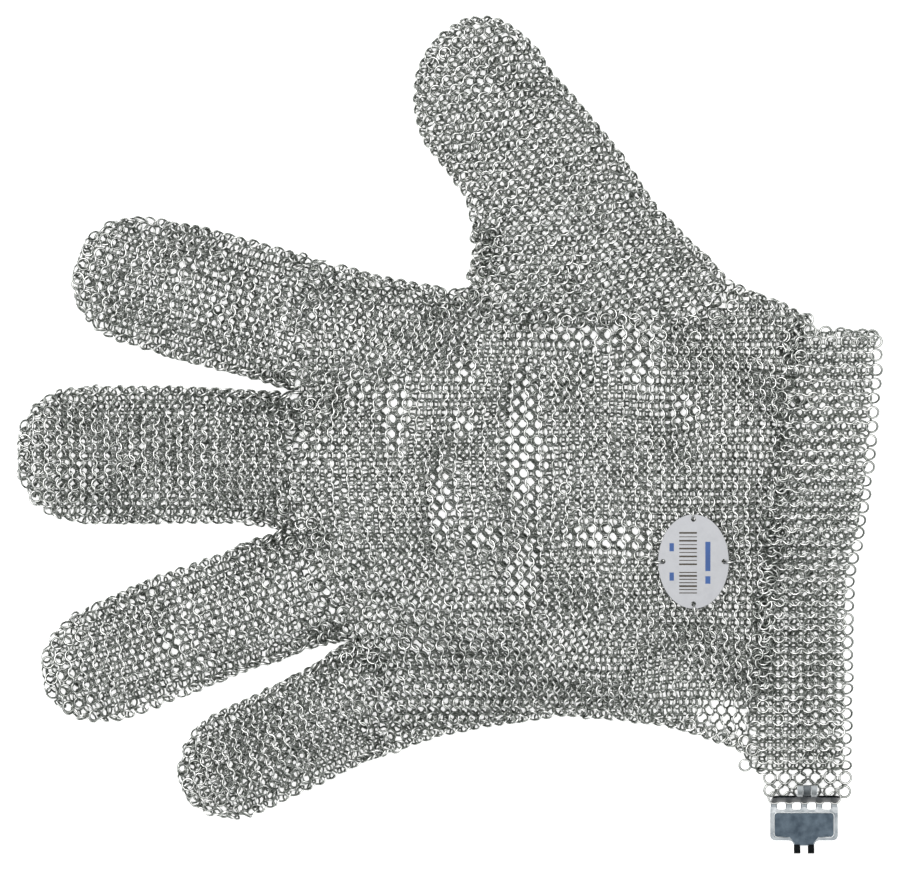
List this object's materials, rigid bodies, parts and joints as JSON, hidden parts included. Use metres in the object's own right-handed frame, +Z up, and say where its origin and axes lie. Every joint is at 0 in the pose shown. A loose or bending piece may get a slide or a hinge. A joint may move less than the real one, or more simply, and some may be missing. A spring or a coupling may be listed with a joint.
{
  "type": "chainmail glove",
  "caption": "Cut-resistant glove of linked steel rings, lying flat, with separate fingers, a wrist cuff, a hook clasp and an oval tag.",
  "frame": {"origin": "middle of the outline seen from above, on the table that the glove lies on", "axes": "+Z up, fingers towards -X, cuff at +X, thumb towards +Y"},
  "size_m": [0.2546, 0.2475, 0.0149],
  "materials": {
    "ring_mesh": "bright drawn wire, linked rings",
    "rings": "bright drawn wire",
    "clasp_sheet": "bright stamped spring steel",
    "tag_plate": "satin with dark printed bars"
  },
  "bodies": {
    "root": {"hand": "ring_mesh", "thumb": "ring_mesh", "index_finger": "ring_mesh", "middle_finger": "ring_mesh", "ring_finger": "ring_mesh", "little_finger": "ring_mesh", "cuff": "ring_mesh", "link_ring_1": "rings", "link_ring_2": "rings", "link_ring_3": "rings", "link_ring_4": "rings", "link_ring_5": "rings", "tag_ring_1": "rings", "tag_ring_2": "rings", "tag_ring_3": "rings", "tag_ring_4": "rings", "clasp": "clasp_sheet", "tag": "tag_plate"}
  },
  "joints": []
}
